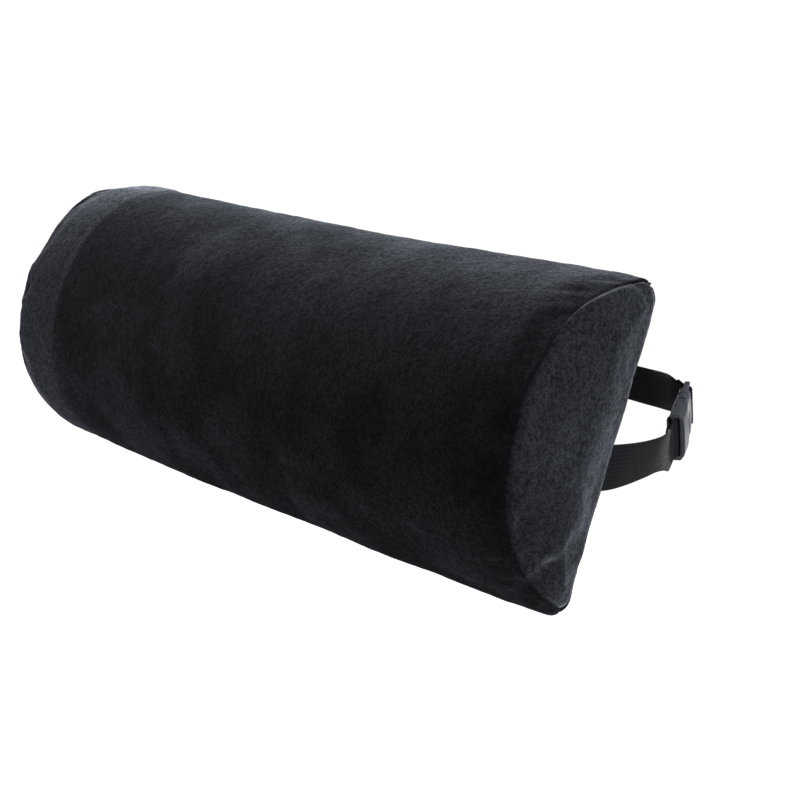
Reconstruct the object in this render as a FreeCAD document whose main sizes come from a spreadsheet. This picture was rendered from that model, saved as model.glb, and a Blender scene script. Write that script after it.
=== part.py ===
import FreeCAD, Part
import math
import os

import Sketcher
from FreeCAD import Placement, Rotation, Vector

# Lumbar support cushion: a half-moon memory foam block in a zipped cover, with a two-piece
# webbing strap joined by a side-release buckle.
# Frame: the origin is the centre of the flat back face, X runs along the cushion,
# +Y points out of the flat back and +Z is up. Millimetres throughout.

# ---------------------------------------------------------------------------
# Driving dimensions
# ---------------------------------------------------------------------------

SIZES = {
    "cushion_length": 450,
    "front_radius": 91.5,        # round front, nearly a half circle
    "front_centre_y": 5,       # the front's centre lies just behind the flat back
    "edge_radius": 10,
    "cover_thickness": 2.2,
    "cover_ease": 0.4,         # room between cover and liner
    "liner_thickness": 0.6,
    "foam_ease": 0.3,          # room between liner and foam
    "back_pocket": 3.8,        # room behind the back panel for the zipper's tapes and slider
    "seam_gap": 0.2,
    "end_seam_inset": 6,       # the end seams run round the cushion this far in from its ends
    "back_seam_y": -6,         # the long seams run just in front of the flat back
    "zipper_z": -62,
    "zipper_length": 376,
    "channel_width": 12,
    "channel_length": 380,
    "tape_width": 11,
    "tape_thickness": 0.6,
    "tape_y": -3.0,
    "coil_gap": 0.9,
    "coil_width": 1.95,
    "coil_height": 1.7,
    "coil_y": -2.3,
    "stop_length": 3,
    "slider_x": 176,
    "slider_length": 10,
    "slider_width": 8,
    "slider_plate": 1.0,
    "slider_web": 0.5,
    "slider_low_y": -4.4,
    "slider_top_y": -0.4,
    "bridge_length": 6,
    "bridge_width": 2,
    "bridge_height": 2.2,
    "bridge_hole": 3.2,
    "pull_pivot_y": 1.5,
    "pull_length": 22,
    "pull_width": 5.6,
    "pull_thickness": 1.1,
    "pull_pin_radius": 0.55,
    "webbing_width": 25,
    "webbing_thickness": 1.5,
    "strap_root_x": 217.9,
    "strap_root_z": -10,
    "strap_slot": 2.4,
    "buckle_x": 157.4,
    "buckle_y": 150.6,
    "buckle_z": 26.7,
    "buckle_heading": 27.3,    # degrees that the buckle turns from +Y towards -X
    "buckle_lean": 30.6,       # degrees that the buckle rises and its upper edge leans forward
    "buckle_width": 32,
    "buckle_thickness": 9,
    "socket_mouth": 18,
    "socket_body_start": -6,
    "socket_bar": -14.5,
    "socket_wall": 2.6,
    "socket_skin": 1.9,
    "window_start": 1.5,
    "window_length": 9.5,
    "frame_thickness": 4.4,
    "bar_radius": 1.8,
    "rail_width": 2.9,
    "plug_shoulder": 18.6,
    "shoulder_length": 5.4,
    "plug_bar": 34,
    "tongue_width": 8,
    "tongue_start": 2,
    "insert_thickness": 4.4,
    "prong_offset": 11.4,
    "prong_pivot": 17.2,
    "prong_radius": 1.2,
    "prong_tip": 1.5,
    "catch_start": 2.4,
    "catch_length": 7.4,
    "catch_reach": 15.6,
}

doc = FreeCAD.newDocument("lumbar_cushion")
sheet = doc.addObject("Spreadsheet::Sheet", "Sizes")
for row, (alias, value) in enumerate(SIZES.items(), start=1):
    sheet.set(f"A{row}", alias)
    sheet.set(f"B{row}", str(value))
    sheet.setAlias(f"B{row}", alias)
doc.recompute()

nodes = {}


def size(alias):
    """The value of one cell of the sheet."""
    return float(sheet.get(alias))


def add_node(name, obj):
    """Gives a finished sub-part its name."""
    obj.Label = name
    nodes[name] = obj
    return obj


def bind(obj, **expressions):
    """Binds properties to the sheet; two underscores stand for a dot."""
    for key, expression in expressions.items():
        obj.setExpression(key.replace("__", "."), expression)
    return obj


# ---------------------------------------------------------------------------
# Building blocks
# ---------------------------------------------------------------------------

def box(name, length, width, height, x, y, z):
    """A box with its low corner at x, y, z; each argument is an expression."""
    block = doc.addObject("Part::Box", name)
    return bind(
        block,
        Length=length,
        Width=width,
        Height=height,
        Placement__Base__x=x,
        Placement__Base__y=y,
        Placement__Base__z=z,
    )


def round_bar(name, radius, length, x, y, z, axis=Vector(0, 0, 1)):
    """A cylinder that starts at x, y, z and runs along axis."""
    bar = doc.addObject("Part::Cylinder", name)
    bar.Placement = Placement(Vector(), Rotation(Vector(0, 0, 1), axis))
    return bind(
        bar,
        Radius=radius,
        Height=length,
        Placement__Base__x=x,
        Placement__Base__y=y,
        Placement__Base__z=z,
    )


def cut(name, base, tool):
    """What is left of base once tool is taken away."""
    result = doc.addObject("Part::Cut", name)
    result.Base = base
    result.Tool = tool
    return result


def common(name, base, tool):
    """What base and tool share."""
    result = doc.addObject("Part::Common", name)
    result.Base = base
    result.Tool = tool
    return result


def fuse(name, shapes):
    """Several pieces joined into one."""
    result = doc.addObject("Part::MultiFuse", name)
    result.Shapes = shapes
    return result


def half_moon(name, inset, back_inset):
    """A closed half-moon block, smaller than the cushion by the two insets."""
    body = doc.addObject("PartDesign::Body", name)
    sketch = body.newObject("Sketcher::SketchObject", name + "_outline")
    plane = next(item for item in body.Origin.OriginFeatures if item.Role == "YZ_Plane")
    sketch.AttachmentSupport = (plane, [""])
    sketch.MapMode = "FlatFace"
    radius = size("front_radius")
    chord = size("front_centre_y") + 1
    half_angle = math.acos(-chord / radius)
    circle = Part.Circle(Vector(0, 0, 0), Vector(0, 0, 1), radius)
    sketch.addGeometry(Part.ArcOfCircle(circle, half_angle, 2 * math.pi - half_angle), False)
    top = Vector(-chord, radius * math.sin(half_angle), 0)
    bottom = Vector(-chord, -top.y, 0)
    sketch.addGeometry(Part.LineSegment(bottom, top), False)
    sketch.addConstraint(Sketcher.Constraint("Coincident", 0, 2, 1, 1))
    sketch.addConstraint(Sketcher.Constraint("Coincident", 1, 2, 0, 1))
    sketch.addConstraint(Sketcher.Constraint("Coincident", 0, 3, -1, 1))
    sketch.addConstraint(Sketcher.Constraint("Vertical", 1))
    sketch.addConstraint(Sketcher.Constraint("Radius", 0, radius))
    sketch.addConstraint(Sketcher.Constraint("DistanceX", 1, 1, -1, 1, chord))
    sketch.setExpression("Constraints[4]", f"Sizes.front_radius - ({inset})")
    sketch.setExpression("Constraints[5]", f"Sizes.front_centre_y + ({back_inset})")
    pad = body.newObject("PartDesign::Pad", name + "_pad")
    pad.Profile = sketch
    pad.SideType = "Symmetric"
    pad.setExpression("Length", f"Sizes.cushion_length - 2 * ({inset})")
    doc.recompute()
    rounding = body.newObject("PartDesign::Fillet", name + "_rounding")
    rounding.Base = (pad, [f"Edge{number}" for number in range(1, len(pad.Shape.Edges) + 1)])
    rounding.setExpression("Radius", f"Sizes.edge_radius - 0.8 * ({inset})")
    body.setExpression("Placement.Base.y", "Sizes.front_centre_y")
    doc.recompute()
    return body


# ---------------------------------------------------------------------------
# Foam, liner and the five panels of the cover
# ---------------------------------------------------------------------------

COVER_IN = "Sizes.cover_thickness"
LINER_OUT = COVER_IN + " + Sizes.cover_ease"
LINER_IN = LINER_OUT + " + Sizes.liner_thickness"
FOAM_OUT = LINER_IN + " + Sizes.foam_ease"
POCKET = " + Sizes.back_pocket - Sizes.cover_ease"


def build_filling():
    """The foam block and the thin liner sewn round it."""
    add_node("foam_core", half_moon("foam", FOAM_OUT, FOAM_OUT + POCKET))
    liner_outside = half_moon("liner_outside", LINER_OUT, LINER_OUT + POCKET)
    liner_inside = half_moon("liner_inside", LINER_IN, LINER_IN + POCKET)
    add_node("inner_liner", cut("liner", liner_outside, liner_inside))


def build_cover():
    """The plush cover: curved front, two end panels and a back in two strips."""
    outside = half_moon("cover_outside", "0", "0")
    inside = half_moon("cover_inside", COVER_IN, COVER_IN)
    shell = cut("cover_shell", outside, inside)

    half = "(Sizes.cushion_length / 2 - Sizes.end_seam_inset)"
    beyond = "2 * Sizes.end_seam_inset"
    tall = "3 * Sizes.front_radius"
    low = "-1.5 * Sizes.front_radius"
    right_end = box("right_end", beyond, tall, tall, f"{half} + Sizes.seam_gap / 2", low, low)
    left_end = box("left_end", beyond, tall, tall, f"-{half} - Sizes.seam_gap / 2 - {beyond}", low, low)
    add_node("end_panel_right", common("right_panel", shell, right_end))
    add_node("end_panel_left", common("left_panel", shell, left_end))

    length = f"2 * {half} - Sizes.seam_gap"
    start = f"-{half} + Sizes.seam_gap / 2"
    front_space = box("front_space", length, tall, tall, start, f"Sizes.back_seam_y - {tall}", low)
    add_node("front_panel", common("front", shell, front_space))

    back_y = "Sizes.back_seam_y + Sizes.seam_gap"
    upper_z = "Sizes.zipper_z + Sizes.seam_gap / 2"
    lower_z = f"Sizes.zipper_z - Sizes.seam_gap / 2 - {tall}"
    upper_space = box("upper_space", length, tall, tall, start, back_y, upper_z)
    lower_space = box("lower_space", length, tall, tall, start, back_y, lower_z)
    channel = box(
        "zipper_channel",
        "Sizes.channel_length",
        "20",
        "Sizes.channel_width",
        "-Sizes.channel_length / 2",
        "-10",
        "Sizes.zipper_z - Sizes.channel_width / 2",
    )
    slots = []
    for side, sign in (("right", 1), ("left", -1)):
        slots.append(box(
            f"strap_slot_{side}",
            "Sizes.strap_slot",
            "20",
            "Sizes.webbing_width + 1.2",
            f"{sign} * Sizes.strap_root_x - Sizes.strap_slot / 2",
            "-10",
            "Sizes.strap_root_z - Sizes.webbing_width / 2 - 0.6",
        ))
    upper_openings = fuse("upper_openings", [channel] + slots)
    upper_strip = common("upper_strip", shell, upper_space)
    lower_strip = common("lower_strip", shell, lower_space)
    add_node("back_panel_upper", cut("upper_back", upper_strip, upper_openings))
    add_node("back_panel_lower", cut("lower_back", lower_strip, channel))


# ---------------------------------------------------------------------------
# Zipper
# ---------------------------------------------------------------------------

def build_zipper():
    """Two tapes and two coils side by side, a stop at each end, the slider and its pull."""
    half_gap = "Sizes.coil_gap / 2"
    rows = (
        ("upper", f"Sizes.zipper_z + {half_gap}", "0"),
        ("lower", f"Sizes.zipper_z - {half_gap}", "1"),
    )
    start = "-Sizes.zipper_length / 2"
    for side, edge, below in rows:
        tape = box(
            f"tape_{side}",
            "Sizes.zipper_length",
            "Sizes.tape_thickness",
            "Sizes.tape_width",
            start,
            "Sizes.tape_y",
            f"{edge} - {below} * Sizes.tape_width",
        )
        add_node(f"zipper_tape_{side}", tape)
        coil = box(
            f"coil_{side}",
            "Sizes.zipper_length",
            "Sizes.coil_height",
            "Sizes.coil_width",
            start,
            "Sizes.coil_y",
            f"{edge} - {below} * Sizes.coil_width",
        )
        add_node(f"zipper_coil_{side}", coil)

    for name, x in (
        ("closed", "Sizes.slider_x + Sizes.slider_length / 2 + 1"),
        ("open", "-Sizes.slider_x - Sizes.slider_length / 2 - 1 - Sizes.stop_length"),
    ):
        clamp = box(
            f"stop_{name}",
            "Sizes.stop_length",
            "0.8",
            "2 * Sizes.coil_width + Sizes.coil_gap",
            x,
            "Sizes.coil_y + Sizes.coil_height + 0.1",
            f"Sizes.zipper_z - Sizes.coil_width - {half_gap}",
        )
        add_node(f"zipper_stop_{name}", clamp)

    build_slider()
    build_pull()


def build_slider():
    """The slider: plates above and below the coils, the web between them and a bridge."""
    start = "Sizes.slider_x - Sizes.slider_length / 2"
    low_z = "Sizes.zipper_z - Sizes.slider_width / 2"
    plates = []
    for name, y in (("inner", "Sizes.slider_low_y"), ("outer", "Sizes.slider_top_y")):
        plates.append(box(
            f"slider_{name}_plate",
            "Sizes.slider_length",
            "Sizes.slider_plate",
            "Sizes.slider_width",
            start,
            y,
            low_z,
        ))
    web = box(
        "slider_web",
        "Sizes.slider_length",
        "Sizes.slider_top_y - Sizes.slider_low_y",
        "Sizes.slider_web",
        start,
        "Sizes.slider_low_y",
        "Sizes.zipper_z - Sizes.slider_web / 2",
    )
    top = "Sizes.slider_top_y + Sizes.slider_plate"
    bridge = box(
        "slider_bridge",
        "Sizes.bridge_length",
        "Sizes.bridge_height",
        "Sizes.bridge_width",
        "Sizes.slider_x - Sizes.bridge_length / 2",
        top,
        "Sizes.zipper_z - Sizes.bridge_width / 2",
    )
    hole = box(
        "slider_bridge_hole",
        "Sizes.bridge_hole",
        "2 * (Sizes.pull_pivot_y - Sizes.slider_top_y - Sizes.slider_plate) - 0.3",
        "2 * Sizes.bridge_width",
        "Sizes.slider_x - Sizes.bridge_hole / 2",
        f"{top} + 0.15",
        "Sizes.zipper_z - Sizes.bridge_width",
    )
    solid = fuse("slider_solid", plates + [web, bridge])
    add_node("zipper_slider", cut("slider", solid, hole))


def build_pull():
    """The pull: a flat tab with an eye, and the pin that turns in the slider's bridge."""
    tab = box(
        "pull_plate",
        "Sizes.pull_length",
        "Sizes.pull_thickness",
        "Sizes.pull_width",
        "Sizes.slider_x - Sizes.pull_length",
        "Sizes.pull_pivot_y - Sizes.pull_thickness / 2",
        "Sizes.zipper_z - Sizes.pull_width / 2",
    )
    eye = box(
        "pull_eye",
        "Sizes.bridge_length",
        "4 * Sizes.pull_thickness",
        "Sizes.bridge_width + 1.0",
        "Sizes.slider_x + 0.01 - Sizes.bridge_length",
        "Sizes.pull_pivot_y - 2 * Sizes.pull_thickness",
        "Sizes.zipper_z - Sizes.bridge_width / 2 - 0.5",
    )
    pin = round_bar(
        "pull_pin",
        "Sizes.pull_pin_radius",
        "Sizes.pull_width",
        "Sizes.slider_x",
        "Sizes.pull_pivot_y",
        "Sizes.zipper_z - Sizes.pull_width / 2",
    )
    plate = cut("pull_plate_with_eye", tab, eye)
    add_node("zipper_pull", fuse("pull", [plate, pin]))


# ---------------------------------------------------------------------------
# Buckle, in its own frame: X along the strap, Y across it, Z out of its face
# ---------------------------------------------------------------------------

def buckle_axes():
    """Unit vectors along the buckle, across it and out of its outer face."""
    heading = math.radians(size("buckle_heading"))
    lean = math.radians(size("buckle_lean"))
    along = Vector(
        -math.sin(heading),
        math.cos(heading) * math.cos(lean),
        math.cos(heading) * math.sin(lean),
    )
    across = Vector(0, -math.sin(lean), math.cos(lean))
    return along, across, along.cross(across)


def buckle_placement():
    """Where the buckle's own frame lies in the cushion's frame."""
    along, across, out = buckle_axes()
    centre = Vector(size("buckle_x"), size("buckle_y"), size("buckle_z"))
    return Placement(centre, Rotation(along, across, out, "XYZ"))


def in_buckle(name, obj):
    """Names a buckle piece and sets it in its place."""
    obj.Placement = buckle_placement()
    return add_node(name, obj)


def slab(name, x, length, width, thickness):
    """A box centred across the buckle and through its thickness."""
    return box(name, length, width, thickness, x, f"-({width}) / 2", f"-({thickness}) / 2")


def rounded(name, base, radius, edge_test):
    """Rounds the edges of base that pass the test."""
    doc.recompute()
    result = doc.addObject("Part::Fillet", name)
    result.Base = base
    result.Edges = [
        (number, radius, radius)
        for number, edge in enumerate(base.Shape.Edges, start=1)
        if edge_test(edge)
    ]
    return result


def runs_along_strap(edge):
    """True for straight edges along the buckle."""
    first, last = edge.Vertexes[0].Point, edge.Vertexes[-1].Point
    return abs(last.y - first.y) < 0.01 and abs(last.z - first.z) < 0.01


def cross_bar(name, x):
    """The round bar that the webbing folds over."""
    length = "Sizes.buckle_width - Sizes.rail_width"
    return round_bar(name, "Sizes.bar_radius", length, x, f"-({length}) / 2", "0", Vector(0, 1, 0))


def rails(name, x, length):
    """The two side rails that carry a cross bar."""
    frame = slab(name + "_plate", x, length, "Sizes.buckle_width", "Sizes.frame_thickness")
    gap = slab(
        name + "_gap",
        f"{x} - 1",
        f"{length} + 2",
        "Sizes.buckle_width - 2 * Sizes.rail_width",
        "2 * Sizes.frame_thickness",
    )
    return cut(name, frame, gap)


def build_socket():
    """The socket: a rounded hollow body with side windows, and its webbing bar."""
    body_length = "Sizes.socket_mouth - Sizes.socket_body_start"
    block = slab("socket_block", "Sizes.socket_body_start", body_length, "Sizes.buckle_width",
                 "Sizes.buckle_thickness")
    shaped = rounded("socket_rounded", block, 3.2, runs_along_strap)
    cavity = slab(
        "socket_cavity",
        "Sizes.socket_body_start + 3",
        body_length,
        "Sizes.buckle_width - 2 * Sizes.socket_wall",
        "Sizes.buckle_thickness - 2 * Sizes.socket_skin",
    )
    windows = slab(
        "socket_windows",
        "Sizes.window_start",
        "Sizes.window_length",
        "2 * Sizes.buckle_width",
        "Sizes.buckle_thickness - 2 * Sizes.socket_skin",
    )
    hollow = cut("socket_hollow", shaped, fuse("socket_spaces", [cavity, windows]))
    frame_start = "Sizes.socket_bar - Sizes.bar_radius"
    frame = rails("socket_rails", frame_start, f"Sizes.socket_body_start - ({frame_start})")
    bar = cross_bar("socket_bar", "Sizes.socket_bar")
    in_buckle("buckle_socket", fuse("socket", [hollow, frame, bar]))


def build_plug():
    """The plug: a shoulder, a centre tongue inside the socket, and its webbing bar."""
    shoulder = slab("plug_shoulder", "Sizes.plug_shoulder", "Sizes.shoulder_length",
                    "Sizes.buckle_width", "Sizes.buckle_thickness - 1")
    shaped = rounded("plug_shoulder_rounded", shoulder, 3.0, runs_along_strap)
    tongue = slab("plug_tongue", "Sizes.tongue_start", "Sizes.plug_shoulder - Sizes.tongue_start",
                  "Sizes.tongue_width", "Sizes.insert_thickness")
    frame_start = "Sizes.plug_shoulder + Sizes.shoulder_length"
    frame = rails("plug_rails", frame_start, f"Sizes.plug_bar + Sizes.bar_radius - ({frame_start})")
    bar = cross_bar("plug_bar", "Sizes.plug_bar")
    in_buckle("buckle_plug", fuse("plug", [shaped, tongue, frame, bar]))


def build_prongs():
    """The two spring arms, each with the catch that shows in the socket's side window."""
    for name, side in (("upper", 1), ("lower", -1)):
        bottom = "-Sizes.insert_thickness / 2"
        half = "Sizes.prong_radius"
        arm = box(
            f"prong_{name}_arm",
            "Sizes.prong_pivot - Sizes.prong_tip",
            f"2 * {half}",
            "Sizes.insert_thickness",
            "Sizes.prong_tip",
            f"{side} * Sizes.prong_offset - {half}",
            bottom,
        )
        reach = f"Sizes.catch_reach - Sizes.prong_offset"
        catch = box(
            f"prong_{name}_catch",
            "Sizes.catch_length",
            reach,
            "Sizes.insert_thickness",
            "Sizes.catch_start",
            "Sizes.prong_offset" if side > 0 else "-Sizes.catch_reach",
            bottom,
        )
        knuckle = round_bar(
            f"prong_{name}_knuckle",
            half,
            "Sizes.insert_thickness",
            "Sizes.prong_pivot",
            f"{side} * Sizes.prong_offset",
            bottom,
        )
        in_buckle(f"buckle_prong_{name}", fuse(f"prong_{name}", [arm, catch, knuckle]))


# ---------------------------------------------------------------------------
# Webbing
# ---------------------------------------------------------------------------

# Each strap's route from its seam towards the buckle: x, y, z of the middle of the band, and
# the degrees that its upper edge leans forward.
SHORT_ROUTE = [
    (217.9, -3.4, -10, 0),
    (217.9, 3, -9.5, 0),
    (217.4, 18, -3.5, 0),
    (214.5, 36, 3.5, 5),
    (209, 56, 9, 12),
    (201, 76, 12.5, 18),
    (190, 97, 14, 24),
]
LONG_ROUTE = [
    (-217.9, -3.4, -10, 0),
    (-217.9, 3, -10, 0),
    (-217.5, 25, -7, 0),
    (-214, 62, 1, 2),
    (-206, 100, 11, 4),
    (-191, 138, 21, 6),
    (-167, 174, 31, 8),
    (-134, 206, 40, 8),
    (-94, 232, 46.5, 8),
    (-48, 249, 51, 6),
    (0, 254, 53, 4),
    (40, 246, 52.5, 3),
    (72, 228, 51, 6),
    (100, 207, 50, 16),
]
FOLD_ANGLE = 32        # degrees between the buckle's length and the long strap that leaves it
FOLD_LENGTH = 20       # the doubled, stitched stretch


def lean_vector(lean):
    """The direction across the band for an upper edge that leans forward."""
    angle = math.radians(lean)
    return Vector(0, -math.sin(angle), math.cos(angle))


def fold(centre, outward, across):
    """Stations of the webbing round a bar: in along the outer leg, round and back on itself."""
    ring = size("bar_radius") + 0.3 + size("webbing_thickness") / 2
    stacked = size("webbing_thickness") / 2 + 0.05
    side = across.cross(outward)
    profile = [(FOLD_LENGTH, stacked), (9, 1.2 * stacked), (4.2, 0.8 * ring)]
    for step in range(7):
        angle = math.radians(90 + 30 * step)
        profile.append((ring * math.cos(angle), ring * math.sin(angle)))
    profile += [(4.2, -0.8 * ring), (9, -1.2 * stacked), (FOLD_LENGTH - 1, -stacked)]
    return [
        (centre + outward * forward + side * sideways, across)
        for forward, sideways in profile
    ]


def webbing(name, stations):
    """A flat band of constant section through stations of middle point and cross direction."""
    points = [point for point, across in stations]
    sections = []
    for index, (point, across) in enumerate(stations):
        before = points[max(index - 1, 0)]
        after = points[min(index + 1, len(points) - 1)]
        tangent = (after - before).normalize()
        face_normal = tangent.cross(across).normalize()
        half_width = face_normal.cross(tangent) * (size("webbing_width") / 2)
        half_depth = face_normal * (size("webbing_thickness") / 2)
        corners = [
            point + half_width + half_depth,
            point - half_width + half_depth,
            point - half_width - half_depth,
            point + half_width - half_depth,
        ]
        sections.append(Part.makePolygon(corners + corners[:1]))
    band = doc.addObject("Part::Feature", name)
    band.Shape = Part.makeLoft(sections, True, True)
    band.Placement = Placement()
    length = sum((b - a).Length for a, b in zip(points, points[1:]))
    section_area = size("webbing_width") * size("webbing_thickness")
    print(f"{name}: {length:.0f} mm of webbing, fill {band.Shape.Volume / (length * section_area):.3f}")
    return add_node(name, band)


def stitches(name, centre, outward, across):
    """Two rows of short threads across the doubled webbing."""
    side = across.cross(outward)
    frame = Rotation(outward, across, side, "XYZ")
    lift = 1.42 * size("webbing_thickness")
    threads = []
    for row in (11.5, 15.5):
        for step in range(-5, 6):
            thread = Part.makeBox(0.7, 1.5, 0.4, Vector(-0.35, -0.75, -0.2))
            middle = centre + outward * row + across * (2.1 * step) + side * lift
            thread.Placement = Placement(middle, frame)
            threads.append(thread)
    group = doc.addObject("Part::Feature", name)
    group.Shape = Part.makeCompound(threads)
    group.Placement = Placement()
    return add_node(name, group)


def build_straps():
    """The short strap to the socket and the long strap to the plug, with their stitching."""
    along, across, out = buckle_axes()
    origin = Vector(size("buckle_x"), size("buckle_y"), size("buckle_z"))
    turn = math.radians(FOLD_ANGLE)
    ends = (
        ("strap_short", SHORT_ROUTE, origin + along * size("socket_bar"), along * -1),
        ("strap_long", LONG_ROUTE, origin + along * size("plug_bar"),
         along * math.cos(turn) - out * math.sin(turn)),
    )
    for name, route, bar, outward in ends:
        stations = [(Vector(x, y, z), lean_vector(lean)) for x, y, z, lean in route]
        webbing(name, stations + fold(bar, outward, across))
        stitches(name + "_stitching", bar, outward, across)


# ---------------------------------------------------------------------------
# Build, check and write
# ---------------------------------------------------------------------------

def check_and_export():
    """Stops on any failed object, then writes one STEP file per sub-part."""
    doc.recompute()
    for obj in doc.Objects:
        if "Invalid" in obj.State or "Error" in obj.State:
            raise RuntimeError(f"{obj.Label} failed: {obj.State}")
    os.makedirs("parts", exist_ok=True)
    for name, obj in nodes.items():
        if obj.Shape.isNull() or not obj.Shape.isValid() or not obj.Shape.Solids:
            raise RuntimeError(f"{name} has no valid solid")
    for name, obj in nodes.items():
        obj.Shape.exportStep(f"parts/{name}.step")
        print(f"{name}: {len(obj.Shape.Solids)} solid(s), {obj.Shape.Volume:.1f} mm3")


build_filling()
build_cover()
build_zipper()
build_socket()
build_plug()
build_prongs()
build_straps()
check_and_export()
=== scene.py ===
import math

import bmesh
import bpy
import numpy as np
from mathutils import Matrix, Vector, kdtree, noise


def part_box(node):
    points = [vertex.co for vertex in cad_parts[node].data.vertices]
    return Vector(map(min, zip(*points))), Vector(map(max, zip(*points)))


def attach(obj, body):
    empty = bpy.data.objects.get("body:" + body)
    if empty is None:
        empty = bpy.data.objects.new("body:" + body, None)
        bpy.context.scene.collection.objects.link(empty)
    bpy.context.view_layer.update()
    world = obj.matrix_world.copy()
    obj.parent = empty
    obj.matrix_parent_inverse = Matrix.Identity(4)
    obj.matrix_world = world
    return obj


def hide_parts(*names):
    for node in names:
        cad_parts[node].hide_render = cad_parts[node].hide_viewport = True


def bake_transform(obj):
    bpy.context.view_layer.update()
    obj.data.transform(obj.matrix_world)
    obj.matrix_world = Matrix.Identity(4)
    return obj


# A half-moon lumbar cushion in crushed black plush, with an elastic strap and a side-release
# buckle behind it. Metres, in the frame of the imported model: +X along the cushion, +Y out of
# its flat back, +Z up.

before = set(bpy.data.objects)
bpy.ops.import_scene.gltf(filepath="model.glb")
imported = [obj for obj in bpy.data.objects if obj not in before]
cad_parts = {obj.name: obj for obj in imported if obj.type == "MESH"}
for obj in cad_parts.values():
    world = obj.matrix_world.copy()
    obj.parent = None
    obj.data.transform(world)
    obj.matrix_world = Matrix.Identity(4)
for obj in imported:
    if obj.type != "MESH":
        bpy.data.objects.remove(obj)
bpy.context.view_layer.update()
MM = 0.001

# ---- Small helpers ----


def new_object(name, data):
    obj = bpy.data.objects.new(name, data)
    bpy.context.scene.collection.objects.link(obj)
    return obj


def mesh_object(name, vertices, faces):
    """A smooth-shaded mesh object from coordinates and faces."""
    mesh = bpy.data.meshes.new(name)
    mesh.from_pydata([tuple(v) for v in vertices], [], [tuple(f) for f in faces])
    mesh.update()
    mesh.shade_smooth()
    return new_object(name, mesh)


def outwards(obj):
    """Turns every face of a closed mesh object outwards."""
    work = bmesh.new()
    work.from_mesh(obj.data)
    bmesh.ops.recalc_face_normals(work, faces=work.faces)
    work.to_mesh(obj.data)
    work.free()
    return obj


def tube_faces(start, rings, count, capped=True):
    """Faces of a tube whose points, from start on, lie in rings of count points each."""
    last = start + (rings - 1) * count
    faces = [
        (a + j, a + (j + 1) % count, a + count + (j + 1) % count, a + count + j)
        for a in range(start, last, count)
        for j in range(count)
    ]
    if capped:
        faces.append(tuple(range(start + count - 1, start - 1, -1)))
        faces.append(tuple(range(last, last + count)))
    return faces

def read_points(mesh):
    flat = np.zeros(len(mesh.vertices) * 3)
    mesh.vertices.foreach_get("co", flat)
    return flat.reshape(-1, 3)


def write_points(mesh, points):
    mesh.vertices.foreach_set("co", points.astype(np.float32).ravel())
    mesh.update()


def read_normals(mesh):
    flat = np.zeros(len(mesh.vertices) * 3)
    mesh.vertex_normals.foreach_get("vector", flat)
    return flat.reshape(-1, 3)


def quads(mesh):
    flat = np.zeros(len(mesh.loops), dtype=int)
    mesh.loops.foreach_get("vertex_index", flat)
    return flat.reshape(-1, 4)


def panel_numbers(mesh):
    numbers = np.zeros(len(mesh.polygons), dtype=int)
    mesh.attributes["panel"].data.foreach_get("value", numbers)
    return numbers


def add_layer(mesh, name, values):
    """A number for each point of a mesh, which its material reads by name."""
    mesh.attributes.new(name, "FLOAT", "POINT").data.foreach_set("value", values)


def assign(target, **values):
    for key, value in values.items():
        setattr(target, key, value)


def apply_modifier(obj, kind, **values):
    """Replaces a mesh by what one modifier makes of it."""
    assign(obj.modifiers.new(kind, kind), **values)
    graph = bpy.context.evaluated_depsgraph_get()
    result = bpy.data.meshes.new_from_object(obj.evaluated_get(graph))
    old = obj.data
    obj.modifiers.clear()
    obj.data = result
    result.name = obj.name
    bpy.data.meshes.remove(old)


def unit(rows):
    return rows / np.linalg.norm(rows, axis=1, keepdims=True)


def smoothstep(x):
    x = np.clip(x, 0, 1)
    return x * x * (3 - 2 * x)


def ramp(value, start, end):
    """0 at start and 1 at end, smooth between; value in metres, start and end in millimetres."""
    return smoothstep((value / MM - start) / (end - start))


def dip(gap, width):
    """1 in the middle of a groove and less beside it; gap in metres, width in millimetres."""
    return np.exp(-((gap / MM / width) ** 2))


def wave_noise(points, scale, seed, octaves=3):
    """Smooth noise, about -1 to 1, at each point; scale is features per metre."""
    shift = Vector((13.7 * seed, -7.1 * seed, 3.3 * seed))
    return np.array([
        noise.fractal(Vector(p) * scale + shift, 1.0, 2.0, octaves, noise_basis="PERLIN_ORIGINAL")
        for p in points
    ])


# ---- The stuffed cover's shape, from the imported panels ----

HALF_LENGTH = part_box("end_panel_right")[1].x
DEPTH = -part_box("front_panel")[0].y
FRONT_CENTRE = 5 * MM              # the round front's centre, behind the flat back
CORNER = 11 * MM                   # rounding of the two long back edges
END_ROUND = 8 * MM                 # rounding at both ends
BACK_ROUND = 5.5 * MM              # the same, where the ends meet the back
SEAM_TURN = math.radians(52)       # how far round that rounding the end seam lies
TOP_TURN = math.radians(16)        # the same, along the top
SEAM_TILT = math.radians(63)       # how far round the back corner the long seam lies
CHANNEL_Z = (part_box("zipper_slider")[0].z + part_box("zipper_slider")[1].z) / 2
CHANNEL_HALF = 4.5 * MM
CHANNEL_END = 190 * MM
MIDDLE_RINGS = 50                  # rings from the middle to the channel's end
END_RINGS = 6
ROUND_RINGS = 4
FRONT_STEPS = 86
UPPER_STEPS = 36
CHANNEL_STEPS = 4
LOWER_STEPS = 6
AROUND = FRONT_STEPS + UPPER_STEPS + CHANNEL_STEPS + LOWER_STEPS

RADIUS = DEPTH + FRONT_CENTRE
CORNER_Z = math.sqrt((RADIUS - CORNER) ** 2 - (FRONT_CENTRE + CORNER) ** 2)
TANGENT = math.acos((FRONT_CENTRE + CORNER) / (RADIUS - CORNER))

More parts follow.
